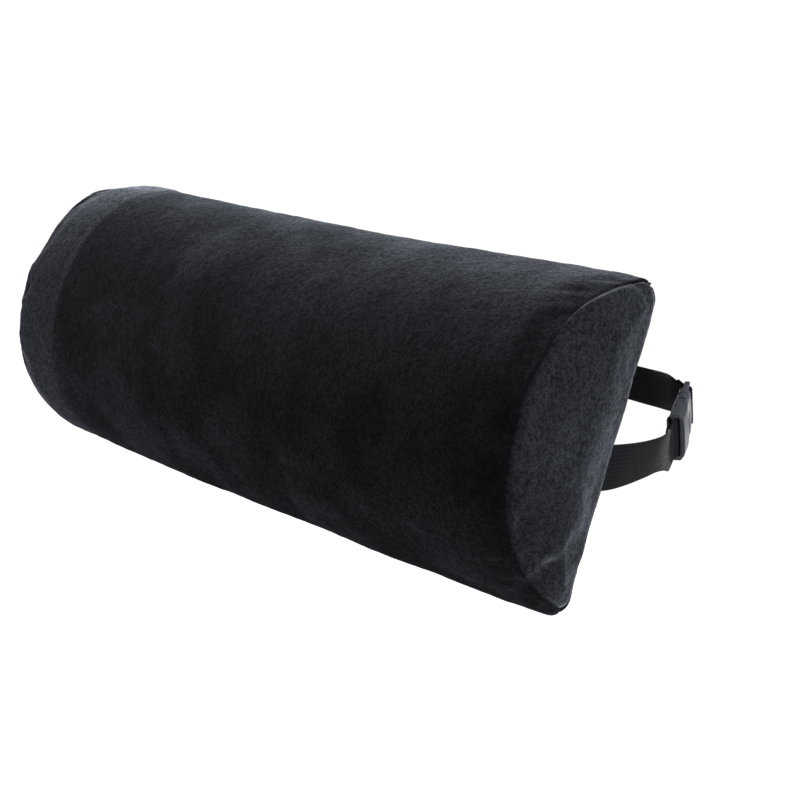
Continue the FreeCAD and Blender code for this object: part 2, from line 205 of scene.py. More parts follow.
BOW_BACK = 3.7 * MM                # the long block bends a little, towards +Y and down
BOW_DOWN = 2.5 * MM
CHANNEL_LIFT = 1.4 * MM            # the channel's upper wall stands clear of the slider
END_REACH = 3 * MM                 # the ends lean outwards towards the back
END_CROWN = 3.5 * MM               # and are this much fuller in their middle
LEFT_FULLER = 4.5 * MM             # the far end is fuller above and below its middle
SWELL = 2.8                        # how far the simulation may move the cloth, millimetres
SWELL_LESS = 1.6                   # by how much less at the flat back
SIMULATED_FRAMES = 20
COVER_THICKNESS = 2.0 * MM
NAP_LINE = -178 * MM               # the pile lies the other way left of this
STRAP_ROOT = Vector((217.9, -3.4, -10)) * MM
FLOOR_Z = -94.5 * MM

# Panels by number: front, back upper, back lower, zipper channel, left end, right end.
FRONT, UPPER, LOWER, CHANNEL, LEFT, RIGHT = range(6)

# Seams: the panels that meet, how wide the pile parts and its painted shade reaches, each groove's
# (depth, half width), and the tucks' rise, features per metre, seed and reach. Millimetres.
SEAMS = (
    (
        [(panel, end) for panel in (FRONT, UPPER, LOWER) for end in (LEFT, RIGHT)],
        1.5, [(0.45, 1.8), (0.4, 6)], (0.6, 105, 3, 9),
    ),
    ([(FRONT, UPPER), (FRONT, LOWER)], 1.5, [(0.8, 1.5), (0.3, 5)], (0.7, 80, 5, 7)),
    ([(UPPER, CHANNEL), (LOWER, CHANNEL), (UPPER, LOWER)], 1.2, [(0.9, 1.8)], None),
)

# Creases on the end panel: start and end in (y, z), rise and half width, millimetres.
END_CREASES = (
    ((-46, -71), (-31, -47), 0.6, 4.6),
    ((-38, -74), (-24, -49), -0.6, 5.0),
    ((-62, -18), (-44, -12), -1.2, 5.5),
    ((-66, -28), (-46, -24), 0.8, 5.5),
    ((-58, -46), (-46, -50), -0.9, 5.0),
    ((-22, 83), (-15, 79), -0.8, 3.0),
)

# Buckle: its place, its directions and what lies where along it.
BUCKLE = Vector((157.4, 150.6, 26.7)) * MM
HEADING, LEAN = math.radians(27.3), math.radians(30.6)
ALONG = Vector((
    -math.sin(HEADING), math.cos(HEADING) * math.cos(LEAN), math.cos(HEADING) * math.sin(LEAN)
))
ACROSS = Vector((0, -math.sin(LEAN), math.cos(LEAN)))
OUT = ALONG.cross(ACROSS)
SOCKET_BAR = -14.5 * MM
PLUG_BAR = 34 * MM
BAR_SHIFT = 1.5 * MM               # the socket's bar lies this far inwards of its middle

# Webbing: each strap's route from its seam to the buckle, as x, y, z in millimetres, the degrees
# that its upper edge leans forward and, on the short one, the degrees that it rolls outwards.
SHORT_ROUTE = (
    (217.9, -3.4, -10, 0),
    (217.9, 3, -9.5, 0),
    (217.4, 18, -6, 0, 4),
    (214.5, 36, -1.5, 4, 9),
    (209, 56, 3.5, 10, 12),
    (200.5, 76, 8, 16, 10),
    (188, 98, 10, 24, 6),
)
LONG_ROUTE = (
    (-217.9, -3.4, -10, 0),
    (-217.9, 3, -10, 0),
    (-217.5, 25, -7, 0),
    (-214, 62, 1, 2),
    (-206, 100, 11, 4),
    (-191, 138, 21, 6),
    (-167, 174, 31, 8),
    (-134, 206, 40, 8),
    (-94, 232, 46.5, 8),
    (-48, 249, 51, 6),
    (0, 254, 53, 4),
    (40, 246, 52.5, 5),
    (72, 228, 51, 11),
    (99, 207, 49.5, 20),
)
BAND_WIDTH = 24.6 * MM
BAND_THICKNESS = 1.4 * MM
RIBS = 11
RIB_PITCH = BAND_WIDTH / RIBS
RIB_HEIGHT = 0.09 * MM
FOLD_ANGLE = 32                    # degrees between the buckle and the long strap that leaves it
FOLD_LENGTH = 20 * MM              # the doubled, stitched stretch
FOLD_RING = 2.85 * MM              # radius of the webbing's turn round a bar
STACKED = 0.8 * MM                 # half the distance between the two layers
TAIL_RISE = 0.8 * MM               # the cut end lies this far off the line of the strap
STITCH_LIFT = 1.62 * MM            # the threads lie this far from the middle of the two layers


def on_front(angle):
    """A point on the round front and its outward normal; angle is measured from -Y."""
    normal = (-math.cos(angle), math.sin(angle))
    return (FRONT_CENTRE + RADIUS * normal[0], RADIUS * normal[1]), normal


def on_corner(angle, sign):
    """A point on the upper or lower corner; angle is measured from +Y."""
    normal = (math.cos(angle), sign * math.sin(angle))
    return (-CORNER + CORNER * normal[0], sign * CORNER_Z + CORNER * normal[1]), normal


def on_back(z):
    return (0.0, z), (1.0, 0.0)


def spaced(samples, count):
    """Points and normals evenly spaced along a dense run, without its last one."""
    points = np.array([p for p, n in samples])
    normals = np.array([n for p, n in samples])
    run = np.r_[0, np.cumsum(np.linalg.norm(np.diff(points, axis=0), axis=1))]
    at = np.linspace(0, run[-1], count + 1)[:-1]
    place = np.array([np.interp(at, run, points[:, k]) for k in (0, 1)]).T
    aim = np.array([np.interp(at, run, normals[:, k]) for k in (0, 1)]).T
    return place, unit(aim)


def section_ring():
    """Once round the section, from the lower long seam up over the front and down the back."""
    dense = 80
    turn_end = math.pi - TANGENT
    high, low = CHANNEL_Z + CHANNEL_HALF, CHANNEL_Z - CHANNEL_HALF
    front = [on_corner(t, -1) for t in np.linspace(SEAM_TILT, turn_end, dense)]
    front += [on_front(t) for t in np.linspace(-TANGENT, TANGENT, 5 * dense)]
    front += [on_corner(t, 1) for t in np.linspace(turn_end, SEAM_TILT, dense)]
    upper = [on_corner(t, 1) for t in np.linspace(SEAM_TILT, 0, dense)]
    upper += [on_back(z) for z in np.linspace(CORNER_Z, high, dense)]
    channel = [on_back(z) for z in np.linspace(high, low, dense)]
    lower = [on_back(z) for z in np.linspace(low, -CORNER_Z, dense)]
    lower += [on_corner(t, -1) for t in np.linspace(0, SEAM_TILT, dense)]
    runs = (
        spaced(front, FRONT_STEPS),
        spaced(upper, UPPER_STEPS),
        spaced(channel, CHANNEL_STEPS),
        spaced(lower, LOWER_STEPS),
    )
    return np.vstack([p for p, n in runs]), np.vstack([n for p, n in runs])


def rounding(normals):
    """How far in from the outline the end's rounding reaches, for each outline point."""
    toward_back = smoothstep(normals[:, 0] * 0.5 + 0.5)
    return END_ROUND + (BACK_ROUND - END_ROUND) * toward_back


def ring_stations():
    """(x, share) of every ring: where it starts, and its share of the way round to the seam."""
    straight = HALF_LENGTH - END_ROUND
    shares = np.linspace(0, 1, ROUND_RINGS + 1)[1:]
    right = [(x, 0.0) for x in np.linspace(0, CHANNEL_END, MIDDLE_RINGS + 1)[1:]]
    right += [(x, 0.0) for x in np.linspace(CHANNEL_END, straight, END_RINGS + 1)[1:]]
    right += [(straight, share) for share in shares]
    left = [(-x, share) for x, share in reversed(right)]
    return left + [(0.0, 0.0)] + right


def end_cap(loop, outline, reach, sign):
    """Grid of points that fills one end, from the loop of the end seam, and the loop's indices."""
    rows = AROUND - FRONT_STEPS
    columns = (FRONT_STEPS - rows) // 2
    index = np.full((rows + 1, columns + 1), -1)
    index[:, 0] = (AROUND - np.arange(rows + 1)) % AROUND
    index[:, -1] = columns + np.arange(rows + 1)
    index[0] = np.arange(columns + 1)
    index[-1] = FRONT_STEPS - np.arange(columns + 1)
    grid = np.zeros((rows + 1, columns + 1, 2))
    fixed = index >= 0
    grid[fixed] = loop[index[fixed]]
    s = np.arange(1, rows)[:, None, None] / rows
    t = np.arange(1, columns)[None, :, None] / columns
    grid[1:-1, 1:-1] = (
        (1 - t) * grid[1:-1, :1] + t * grid[1:-1, -1:]
        + (1 - s) * grid[:1, 1:-1] + s * grid[-1:, 1:-1]
        - (1 - s) * (1 - t) * grid[0, 0] - (1 - s) * t * grid[0, -1]
        - s * (1 - t) * grid[-1, 0] - s * t * grid[-1, -1]
    )
    for _ in range(60):                # evens the grid out
        grid[1:-1, 1:-1] = (
            grid[:-2, 1:-1] + grid[2:, 1:-1] + grid[1:-1, :-2] + grid[1:-1, 2:]
        ) / 4
    flat = grid.reshape(-1, 2)
    gaps = np.sqrt(((flat[:, None, :] - outline[None, :, :]) ** 2).sum(2))
    gap = gaps.min(1)
    share = np.clip(gap / reach[gaps.argmin(1)], 0, 1)
    rise = END_ROUND * np.sqrt(1 - (1 - share) ** 2)
    dome = END_CROWN * smoothstep((gap - 3 * MM) / (30 * MM))
    x = sign * (HALF_LENGTH - END_ROUND + rise + dome)
    return np.c_[x, flat].reshape(rows + 1, columns + 1, 3), index


def stuffed_form():
    """Vertices, faces, each face's panel number and the count of rings of the closed cover."""
    section, normals = section_ring()
    reach = rounding(normals)
    inward = normals * reach[:, None]
    seam_turn = SEAM_TURN + (TOP_TURN - SEAM_TURN) * smoothstep((normals[:, 1] - 0.25) / 0.6)
    stations = ring_stations()
    rings = len(stations)
    vertices = []
    for x, share in stations:
        turn = seam_turn * share
        x_ring = x + math.copysign(END_ROUND, x) * np.sin(turn)
        ring = section - (1 - np.cos(turn))[:, None] * inward
        vertices += [(a, y, z) for a, (y, z) in zip(x_ring, ring)]
    half = CHANNEL_STEPS // 2
    steps = (FRONT_STEPS, UPPER_STEPS, half, half, LOWER_STEPS)
    along_channel = np.repeat((FRONT, UPPER, CHANNEL, CHANNEL, LOWER), steps).tolist()
    past_channel = np.repeat((FRONT, UPPER, UPPER, LOWER, LOWER), steps).tolist()
    faces, panels = [], []
    for i in range(rings - 1):
        in_channel = max(abs(stations[i][0]), abs(stations[i + 1][0])) < CHANNEL_END + 1e-6
        panels += along_channel if in_channel else past_channel
        a, b = i * AROUND, (i + 1) * AROUND
        for j in range(AROUND):
            k = (j + 1) % AROUND
            faces.append((a + j, b + j, b + k, a + k))
    loop = section - (1 - np.cos(seam_turn))[:, None] * inward
    for sign, ring, panel in ((-1, 0, LEFT), (1, rings - 1, RIGHT)):
        points, index = end_cap(loop, section, reach, sign)
        index = np.where(index >= 0, index + ring * AROUND, index)
        for a, b in np.argwhere(index < 0):
            index[a, b] = len(vertices)
            vertices.append(tuple(points[a, b]))
        corners = (index[:-1, :-1], index[:-1, 1:], index[1:, 1:], index[1:, :-1])
        cap = np.stack(corners, axis=-1).reshape(-1, 4)
        faces += (cap if sign < 0 else cap[:, ::-1]).tolist()
        panels += [panel] * len(cap)
    return np.array(vertices), faces, panels, rings


def inflate(obj, end_loops, cap):
    """Cloth simulation: the stuffed cover swells and gathers at its end seams, up to a cap."""
    rest = read_points(obj.data)
    gather = obj.vertex_groups.new(name="gather")
    gather.add([int(v) for v in end_loops], 1.0, "REPLACE")
    cloth = obj.modifiers.new("cloth", "CLOTH")
    assign(
        cloth.settings,
        quality=5, mass=0.25, air_damping=4,
        tension_stiffness=18, compression_stiffness=18, shear_stiffness=8, bending_stiffness=0.35,
        tension_damping=8, compression_damping=8, shear_damping=8,
        use_pressure=True, uniform_pressure_force=3.5,
        vertex_group_shrink="gather", shrink_min=0.0, shrink_max=0.05,
    )
    cloth.settings.effector_weights.gravity = 0
    assign(cloth.collision_settings, use_self_collision=False, use_collision=False)
    assign(cloth.point_cache, frame_start=1, frame_end=SIMULATED_FRAMES)
    scene = bpy.context.scene
    for step in range(1, SIMULATED_FRAMES + 1):
        scene.frame_set(step)
    graph = bpy.context.evaluated_depsgraph_get()
    moved = read_points(obj.evaluated_get(graph).data)
    obj.modifiers.clear()
    scene.frame_set(1)
    shift = moved - rest
    reach = np.linalg.norm(shift, axis=1)
    limited = cap * np.tanh(reach / cap)
    shift *= (limited / np.maximum(reach, 1e-9))[:, None]
    write_points(obj.data, rest + shift)
    return (shift * read_normals(obj.data)).sum(1)


def usual_growth(grown, normals, rings):
    """The growth that the whole length shares, which the cover's measured shape leaves out."""
    around = grown[: rings * AROUND].reshape(rings, AROUND)
    usual = np.full(len(grown), grown[rings * AROUND:].mean())
    facing_end = smoothstep((np.abs(normals[: rings * AROUND, 0]) - 0.2) / 0.6)
    along = np.tile(around.mean(0), rings)
    usual[: rings * AROUND] += (along - usual[0]) * (1 - facing_end)
    return usual


def drape_form():
    """The whole cover, swollen by the simulation, bowed and finely divided."""
    vertices, faces, panels, rings = stuffed_form()
    obj = mesh_object("cover_form", vertices, faces)
    obj.data.attributes.new("panel", "INT", "FACE").data.foreach_set("value", panels)
    points = read_points(obj.data)
    normals = read_normals(obj.data)
    swell = (SWELL - SWELL_LESS * smoothstep(normals[:, 1])) * MM
    ring = np.arange(AROUND)
    write_points(obj.data, points - normals * swell[:, None])
    grown = inflate(obj, np.r_[ring, (rings - 1) * AROUND + ring], swell)
    spare = swell - usual_growth(grown, normals, rings)
    points = read_points(obj.data) + normals * spare[:, None]
    x, y, z = points.T                 # views: changing them changes points
    bow = 1 - (x / HALF_LENGTH) ** 2
    y += BOW_BACK * bow * ramp(-y, 0, 30)
    held = ramp(np.abs(z - CHANNEL_Z), 26, 12) * ramp(y, -25, -5)
    z -= BOW_DOWN * bow * (1 - held)
    above = held * ramp(z - CHANNEL_Z, 0, 2)
    z += CHANNEL_LIFT * above * ramp(np.abs(x), 192, 186)
    near_end = ramp(np.abs(x), 120, 220)
    towards_back = near_end * ramp(y, -75, -15) * (1 - 0.5 * ramp(z, 62, 84))
    x += np.sign(x) * END_REACH * towards_back
    fuller = LEFT_FULLER * near_end * ramp(np.abs(z), 15, 60) * ramp(-y, 15, 45) * (x < 0)
    x -= fuller
    y -= 0.4 * fuller
    z += 0.35 * fuller * np.sign(z)
    write_points(obj.data, points)
    apply_modifier(obj, "SUBSURF", levels=2)
    return obj


def seam_points(mesh, pairs):
    """Middles and ends of the edges where two panels of the given pairs meet."""
    panel = panel_numbers(mesh)
    beside = {}
    for polygon in mesh.polygons:
        for key in polygon.edge_keys:
            beside.setdefault(key, []).append(panel[polygon.index])
    wanted = {frozenset(pair) for pair in pairs}
    points = read_points(mesh)
    keys = [key for key, sides in beside.items() if frozenset(sides) in wanted]
    first, second = points[[a for a, b in keys]], points[[b for a, b in keys]]
    return np.vstack([first, second, (first + second) / 2])


def nearest(points, targets):
    """Distance from each point to its nearest target, and that target."""
    tree = kdtree.KDTree(len(targets))
    for index, target in enumerate(targets):
        tree.insert(target, index)
    tree.balance()
    found = [tree.find(point) for point in points]
    return np.array([item[2] for item in found]), targets[[item[1] for item in found]]


def segment_distance(points, start, end):
    """Distance of each 2-D point from a segment."""
    start, end = np.array(start), np.array(end)
    run = end - start
    share = np.clip(((points - start) @ run) / (run @ run), 0, 1)
    return np.linalg.norm(points - start - share[:, None] * run, axis=1)


def work_surface(obj):
    """Sinks the seams, gathers the cloth beside them, and adds creases and the pile's relief."""
    points, normals = read_points(obj.data), read_normals(obj.data)
    x, y, z = points.T
    parted_and_shaded, height, gaps = np.zeros(len(points)), np.zeros(len(points)), []
    for pairs, parted_shade_width, grooves, tucks in SEAMS:
        gap, foot = nearest(points, seam_points(obj.data, pairs))
        gaps.append(gap)
        # painted shade: along each seam the parted pile is darkened as if shade fell in the groove
        parted_and_shaded = np.maximum(parted_and_shaded, dip(gap, parted_shade_width))
        for depth, width in grooves:
            height -= depth * dip(gap, width)
        if tucks:
            rise, scale, seed, reach = tucks
            near = np.exp(-gap / (reach * MM)) * ramp(gap, 0, 3)
            height += rise * wave_noise(foot, scale, seed, 2) * near

    front = ramp(-y, 0, 12)
    end = ramp(np.abs(x), 216, 221) * front
    beside_end = np.exp(-gaps[0] / (16 * MM))
    height += (0.25 + 0.55 * front) * wave_noise(points, 17, 7, 3)
    height += (0.4 * beside_end + 0.35 * end) * wave_noise(points, 42, 9, 2)
    for side, share in ((1, 1), (-1, 0.8)):      # the left end's creases are the right end's mirrored
        profile = np.c_[y, side * z] / MM
        for start, stop, rise, width in END_CREASES:
            reach = segment_distance(profile, start, stop)
            height += share * rise * np.exp(-((reach / width) ** 2)) * end * (side * x > 0)

    wander = 6 * MM * wave_noise(points * (0, 1, 1), 9, 21, 2)
    height -= 0.3 * dip(x - NAP_LINE + wander, 5) * front
    beyond = np.maximum(np.abs(z - STRAP_ROOT.z) - 13 * MM, 0)
    height -= dip(np.hypot(np.abs(x) - STRAP_ROOT.x, beyond), 3.2) * (y > -4 * MM)
    height += 0.05 * wave_noise(points, 420, 11, 1) + 0.08 * wave_noise(points, 160, 12, 2)
    write_points(obj.data, points + normals * (height * MM)[:, None])
    # where the pile parts at the seams and painted shade darkens it
    return parted_and_shaded


def cloth_piece(name, outer_points, inner_points, outer):
    """A closed piece of cloth: its outer face, the inner face behind it and its cut edges."""
    count = len(outer_points)
    edges = np.vstack([np.c_[outer[:, k], outer[:, (k + 1) % 4]] for k in range(4)])
    forward = {(int(a), int(b)) for a, b in edges}
    rims = [(b, a, a + count, b + count) for a, b in forward if (b, a) not in forward]
    faces = np.vstack([outer, outer[:, ::-1] + count, np.array(sorted(rims))])
    return mesh_object(name, np.vstack([outer_points, inner_points]), faces.tolist())


def panel_piece(name, form_points, inner_points, form_faces, parted_and_shaded):
    """One panel of the cover, with painted shade at its seams and, on an end panel, its nap and
    painted light.
    """
    used = np.unique(form_faces)
    place = np.full(len(form_points), -1)
    place[used] = np.arange(len(used))
    piece = cloth_piece(name, form_points[used], inner_points[used], place[form_faces])
    # painted shade along the seams, for the plush's colour and sheen
    add_layer(piece.data, "parted_and_shaded", np.tile(parted_and_shaded[used], 2))
    # end panels: their pile lies another way, and painted light makes them brighter
    add_layer(piece.data, "end_nap_and_light", np.full(2 * len(used), float("_end_" in name)))
    return piece


def build_cushion(plush):
    """The five sewn panels of the cover; returns the mesh of the form that they lie on."""
    form = drape_form()
    coarse = form.data.copy()
    parted_and_shaded = work_surface(form)
    points, normals = read_points(form.data), read_normals(form.data)
    inner = points - normals * COVER_THICKNESS
    faces, panel = quads(form.data), panel_numbers(form.data)
    for name, number, node in (
        ("cushion_front", FRONT, "front_panel"),
        ("cushion_back_upper", UPPER, "back_panel_upper"),
        ("cushion_back_lower", LOWER, "back_panel_lower"),
        ("cushion_end_left", LEFT, "end_panel_left"),
        ("cushion_end_right", RIGHT, "end_panel_right"),
    ):
        piece = panel_piece(name, points, inner, faces[panel == number], parted_and_shaded)
        finish(piece, plush, "plush_cover", "cushion", node)
    bpy.data.objects.remove(form)
    return coarse


def finish(piece, look, slot, body, *replaced):
    """Gives a piece its material and its body, and hides the CAD nodes that it stands for; slot is
    not used.
    """
    piece.data.materials.append(look)
    if body:
        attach(piece, body)
    if replaced:
        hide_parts(*replaced)
    return piece


# ---- Materials ----


class Nodes:
    """Adds nodes to a material's or a world's tree."""

    def __init__(self, tree):
        self.tree = tree

    def feed(self, socket, value):
        """Links a socket to another one, or gives it a plain value."""
        if isinstance(value, bpy.types.NodeSocket):
            self.tree.links.new(value, socket)
        else:
            socket.default_value = value

    def set(self, node, **inputs):
        for key, value in inputs.items():
            self.feed(node.inputs[key.replace("_", " ")], value)

    def node(self, kind, **inputs):
        node = self.tree.nodes.new("ShaderNode" + kind)
        self.set(node, **inputs)
        return node

    def on_camera_ray(self):
        return self.node("LightPath").outputs["Is Camera Ray"]


class Look(Nodes):
    """A procedural material: a Principled shader and the nodes that feed it."""

    def __init__(self, name, **inputs):
        self.material = bpy.data.materials.new(name)
        self.material.use_nodes = True
        super().__init__(self.material.node_tree)
        self.shader = self.tree.nodes["Principled BSDF"]
        self.shade(**inputs)
        self.metres = self.node("TexCoord").outputs["Object"]

    def shade(self, **inputs):
        self.set(self.shader, **inputs)

    def place(self, axis):
        return self.node("SeparateXYZ", Vector=self.metres).outputs[axis]

    def noise(self, scale, detail=2.0, roughness=0.5, stretch=(1, 1, 1)):
        """Noise of scale features per metre, 0 to 1."""
        mapping = self.node("Mapping", Vector=self.metres, Scale=stretch)
        texture = self.node(
            "TexNoise", Vector=mapping.outputs[0], Scale=scale, Detail=detail, Roughness=roughness
        )
        return texture.outputs["Fac"]

    def math(self, operation, a, b=0.0):
        node = self.tree.nodes.new("ShaderNodeMath")
        node.operation = operation
        self.feed(node.inputs[0], a)
        self.feed(node.inputs[1], b)
        return node.outputs[0]

    def times(self, a, b):
        return self.math("MULTIPLY", a, b)

    def plus(self, a, b):
        return self.math("ADD", a, b)

    def wave(self, value, period):
        """A sine along a value in metres, -1 to 1."""
        return self.math("SINE", self.times(value, 2 * math.pi / period))

    def spread(self, value, low, high, out_low=0.0, out_high=1.0):
        """A value between low and high, smoothly spread to the out range."""
        node = self.node("MapRange")
        node.interpolation_type = "SMOOTHSTEP"
        self.set(node, Value=value, From_Min=low, From_Max=high, To_Min=out_low, To_Max=out_high)
        return node.outputs["Result"]

    def mix(self, factor, a, b):
        node = self.tree.nodes.new("ShaderNodeMix")
        node.data_type = "RGBA"
        for index, value in ((0, factor), (6, a), (7, b)):
            self.feed(node.inputs[index], value)
        return node.outputs[2]

    def bump(self, height, distance, strength=1.0):
        """Adds a layer of relief, in metres, on top of those before it."""
        node = self.node("Bump", Height=height, Distance=distance, Strength=strength)
        before = self.shader.inputs["Normal"]
        if before.links:
            self.tree.links.new(before.links[0].from_socket, node.inputs["Normal"])
        self.tree.links.new(node.outputs[0], before)

    def attribute(self, name):
        node = self.tree.nodes.new("ShaderNodeAttribute")
        node.attribute_name = name
        return node.outputs["Fac"]


def grey(value, tint=(1, 1, 1)):
    return tuple(value * t for t in tint) + (1,)


def cool(value):
    """A dark grey with a little blue in it."""
    return grey(value, (0.86, 0.97, 1.2))


def plush_look():
    """Short crushed pile: nearly black, with a cool sheen that changes where the nap turns."""
    look = Look("plush", Roughness=0.85, Specular_IOR_Level=0.05)
    crush, broad = look.noise(24, 2.5), look.noise(8)
    turned = look.spread(look.plus(look.times(crush, 0.6), look.times(broad, 0.4)), 0.40, 0.60)
    wander = look.times(look.noise(9), 24 * MM)
    leftwards = look.math("SUBTRACT", look.times(look.place("X"), -1), wander)
    left_end = look.spread(leftwards, -NAP_LINE - 15 * MM, -NAP_LINE - 9 * MM)
    tuft, pile = look.noise(330, 2, 0.6), look.noise(760, 2, 0.7)
    grain = look.plus(look.spread(tuft, 0.32, 0.68, 0, 0.35), look.spread(pile, 0.32, 0.68, 0, 0.65))
    end_nap_and_light, parted_and_shaded = look.attribute("end_nap_and_light"), look.attribute("parted_and_shaded")
    base = look.mix(turned, cool(0.0036), cool(0.0066))
    base = look.mix(look.times(left_end, 0.5), base, cool(0.011))
    # painted light, partly the end panels' nap: their colour is lifted to a lighter grey
    base = look.mix(look.times(end_nap_and_light, 0.7), base, cool(0.036))
    base = look.mix(grain, cool(0.0024), base)
    # painted shade: the parted pile along the seams is darkened nearly to black
    base = look.mix(look.times(parted_and_shaded, 0.35), base, grey(0.0012))
    sheen = look.plus(look.spread(turned, 0, 1, 0.27, 0.40), look.times(left_end, 0.40))
    # painted shade dims the sheen along the seams; painted light, partly nap, strengthens it on the
    # end panels
    for value, low, high in ((grain, 0.45, 1.40), (parted_and_shaded, 1.0, 0.65), (end_nap_and_light, 1.0, 1.9)):
        sheen = look.times(sheen, look.spread(value, 0, 1, low, high))
    look.shade(
        Base_Color=base, Sheen_Weight=sheen, Sheen_Roughness=0.42, Sheen_Tint=(0.72, 0.79, 0.92, 1)
    )
    look.bump(crush, 2.5 * MM, 0.2)
    look.bump(tuft, 0.6 * MM, 0.45)
    look.bump(pile, 0.4 * MM, 0.7)
    return look.material


def webbing_look():
    """Flat elastic webbing: ribs that run lengthwise, crossed by fine threads."""
    look = Look("webbing", Roughness=0.75, Specular_IOR_Level=0.08)
    along, across = look.attribute("along"), look.attribute("across")
    weave = look.times(look.wave(along, 0.8 * MM), look.wave(across, 0.5 * MM))
    rib = look.wave(across, RIB_PITCH)
    fuzz, wear = look.noise(1400), look.noise(30, 3)
    shade = look.plus(look.times(rib, 0.22), look.times(weave, 0.12))
    shade = look.plus(shade, look.spread(fuzz, 0.3, 0.7, 0.2, 0.7))
    base = look.mix(shade, cool(0.005), cool(0.014))
    base = look.mix(look.spread(wear, 0.5, 0.75, 0, 0.35), base, cool(0.018))
    look.shade(Base_Color=base, Sheen_Weight=0.05, Sheen_Roughness=0.4)
    look.bump(weave, 0.05 * MM, 0.7)
    look.bump(fuzz, 0.10 * MM, 0.4)
    return look.material


def thread_look():
    """Twisted sewing thread."""
    look = Look("thread", Roughness=0.6, Sheen_Weight=0.1)
    twist = look.noise(2600, stretch=(1, 1, 0.4))
    look.shade(Base_Color=look.mix(twist, cool(0.010), cool(0.030)))
    look.bump(twist, 0.1 * MM, 0.6)
    return look.material


def plastic_look():
    """Moulded acetal: charcoal, satin, with the faint grain of the mould."""
    look = Look("moulded_plastic", Specular_IOR_Level=0.5)
    grain, flow = look.noise(2200, 2, 0.6), look.noise(90, 3)
    look.shade(
        Base_Color=look.mix(look.spread(flow, 0.35, 0.7), cool(0.058), cool(0.078)),
        Roughness=look.spread(flow, 0.3, 0.7, 0.50, 0.64),
    )
    look.bump(grain, 0.04 * MM, 0.5)
    return look.material


def nylon_look():
    """Scuffed nylon wire."""
    look = Look("nylon_coil", Specular_IOR_Level=0.45)
    scuff = look.noise(500, 3)
    look.shade(
        Base_Color=look.mix(scuff, cool(0.010), cool(0.022)),
        Roughness=look.spread(scuff, 0.3, 0.7, 0.3, 0.5),
    )
    look.bump(scuff, 0.03 * MM, 0.4)
    return look.material


def tape_look():
    """Woven zipper tape: a fine herringbone."""
    look = Look("woven_tape", Roughness=0.8, Specular_IOR_Level=0.15, Sheen_Weight=0.1)
    rows = look.wave(look.place("Z"), 1.1 * MM)
    twill = look.wave(look.plus(look.place("X"), look.times(rows, 0.25 * MM)), 0.6 * MM)
    fuzz = look.noise(1500)
    shade = look.plus(look.times(twill, 0.25), look.spread(fuzz, 0.3, 0.7))
    look.shade(Base_Color=look.mix(shade, cool(0.007), cool(0.019)))
    look.bump(twill, 0.08 * MM, 0.6)
    look.bump(fuzz, 0.08 * MM, 0.4)
    return look.material


def metal_look():
    """Black-plated zinc, rubbed a little brighter in places."""
    look = Look("plated_zinc", Metallic=1.0)
    rub, pits = look.noise(260, 4, 0.6), look.noise(1800)
    look.shade(
        Base_Color=look.mix(look.spread(rub, 0.5, 0.72), grey(0.045), grey(0.20)),
        Roughness=look.spread(rub, 0.3, 0.7, 0.30, 0.46),
    )
    look.bump(pits, 0.03 * MM, 0.4)
    return look.material


def foam_look():
    """Memory foam: pale, with open pores."""
    look = Look("memory_foam", Roughness=0.9, Specular_IOR_Level=0.1, Subsurface_Weight=0.1)
    mapping = look.node("Mapping", Vector=look.metres)
    cells = look.node("TexVoronoi", Vector=mapping.outputs[0], Scale=700)
    pores = look.spread(cells.outputs["Distance"], 0.1, 0.5)
    tone = look.noise(14, 3)
    base = look.mix(tone, grey(0.62, (1, 0.97, 0.88)), grey(0.74, (1, 0.98, 0.92)))
    look.shade(Base_Color=look.mix(pores, grey(0.42, (1, 0.94, 0.82)), base))
    look.bump(pores, 0.5 * MM, 0.6)
    return look.material


def liner_look():
    """Fine white knit."""
    look = Look("liner_knit", Roughness=0.8, Specular_IOR_Level=0.15, Sheen_Weight=0.15)
    wales, rows = look.wave(look.place("X"), 1.0 * MM), look.wave(look.place("Z"), 0.8 * MM)
    knit = look.times(wales, rows)
    look.shade(Base_Color=look.mix(look.spread(knit, -1, 1), grey(0.55), grey(0.72)))
    look.bump(knit, 0.12 * MM, 0.6)
    return look.material


# ---- Filling, seen when the cover is off ----


def shrunk_block(name, mesh, inset, back_inset):
    """A closed block inside the cover, this far in from it, and further in behind the back."""
    points, normals = read_points(mesh), read_normals(mesh)
    depth = inset + (back_inset - inset) * ramp(points[:, 1], -16, -2)
    block = mesh_object(name, points - normals * depth[:, None], quads(mesh).tolist())
    apply_modifier(block, "SMOOTH", factor=0.5, iterations=6)
    return block


def build_filling(mesh, foam, liner):
    """The foam block and the thin knit liner round it."""
    core = shrunk_block("foam_block", mesh, 6.4 * MM, 9.4 * MM)
    finish(core, foam, "memory_foam", "cushion", "foam_core")
    bag = shrunk_block("liner_bag", mesh, 5.4 * MM, 8.4 * MM)
    apply_modifier(bag, "SOLIDIFY", thickness=0.5 * MM, offset=-1)
    finish(bag, liner, "liner_cloth", "cushion", "inner_liner")


# ---- Straps ----


